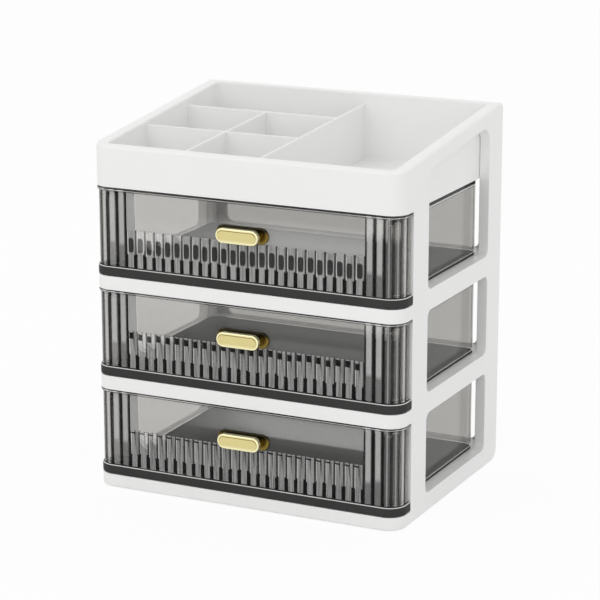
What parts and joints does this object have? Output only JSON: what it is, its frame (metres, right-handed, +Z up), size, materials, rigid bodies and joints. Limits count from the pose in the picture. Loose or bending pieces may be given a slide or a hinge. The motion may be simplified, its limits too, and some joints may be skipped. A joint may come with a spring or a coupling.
{
  "type": "drawer organizer",
  "caption": "Free-standing desk organizer: white cabinet with open sides, see-through smoke drawers with reeded fronts and gold pulls, and a sloping divided tray on top.",
  "frame": {"origin": "on the table under the feet, midway between the sides, and midway between the fronts of the pulls and the rear of the cabinet", "axes": "+Z up, -Y the way the drawers open, +X to the right as seen from the front"},
  "size_m": [0.2604, 0.2096, 0.2956],
  "materials": {
    "cabinet_white": "moulded white, satin gloss",
    "smoke_clear": "polished, see-through smoke tint",
    "smoke_base": "polished dark smoke, nearly black",
    "pull_gold": "plated pale gold, satin",
    "screw_steel": "zinc plated",
    "foot_rubber": "matte grey"
  },
  "bodies": {
    "cabinet": {"right_side_frame": "cabinet_white", "left_side_frame": "cabinet_white", "base_deck": "cabinet_white", "lower_shelf": "cabinet_white", "upper_shelf": "cabinet_white", "rear_frame": "cabinet_white", "top_tray": "cabinet_white", "foot_front_left": "foot_rubber", "foot_front_right": "foot_rubber", "foot_rear_left": "foot_rubber", "foot_rear_right": "foot_rubber"},
    "bottom_drawer": {"bottom_drawer_base": "smoke_base", "bottom_drawer_shell": "smoke_clear", "bottom_drawer_pull": "pull_gold", "bottom_drawer_screws": "screw_steel"},
    "middle_drawer": {"middle_drawer_base": "smoke_base", "middle_drawer_shell": "smoke_clear", "middle_drawer_pull": "pull_gold", "middle_drawer_screws": "screw_steel"},
    "top_drawer": {"top_drawer_base": "smoke_base", "top_drawer_shell": "smoke_clear", "top_drawer_pull": "pull_gold", "top_drawer_screws": "screw_steel"}
  },
  "joints": [
    {"name": "bottom_drawer_slide", "type": "slide", "parent": "cabinet", "child": "bottom_drawer", "axis": [0, -1, 0], "range_m": [0, 0.14]},
    {"name": "middle_drawer_slide", "type": "slide", "parent": "cabinet", "child": "middle_drawer", "axis": [0, -1, 0], "range_m": [0, 0.14]},
    {"name": "top_drawer_slide", "type": "slide", "parent": "cabinet", "child": "top_drawer", "axis": [0, -1, 0], "range_m": [0, 0.14]}
  ]
}
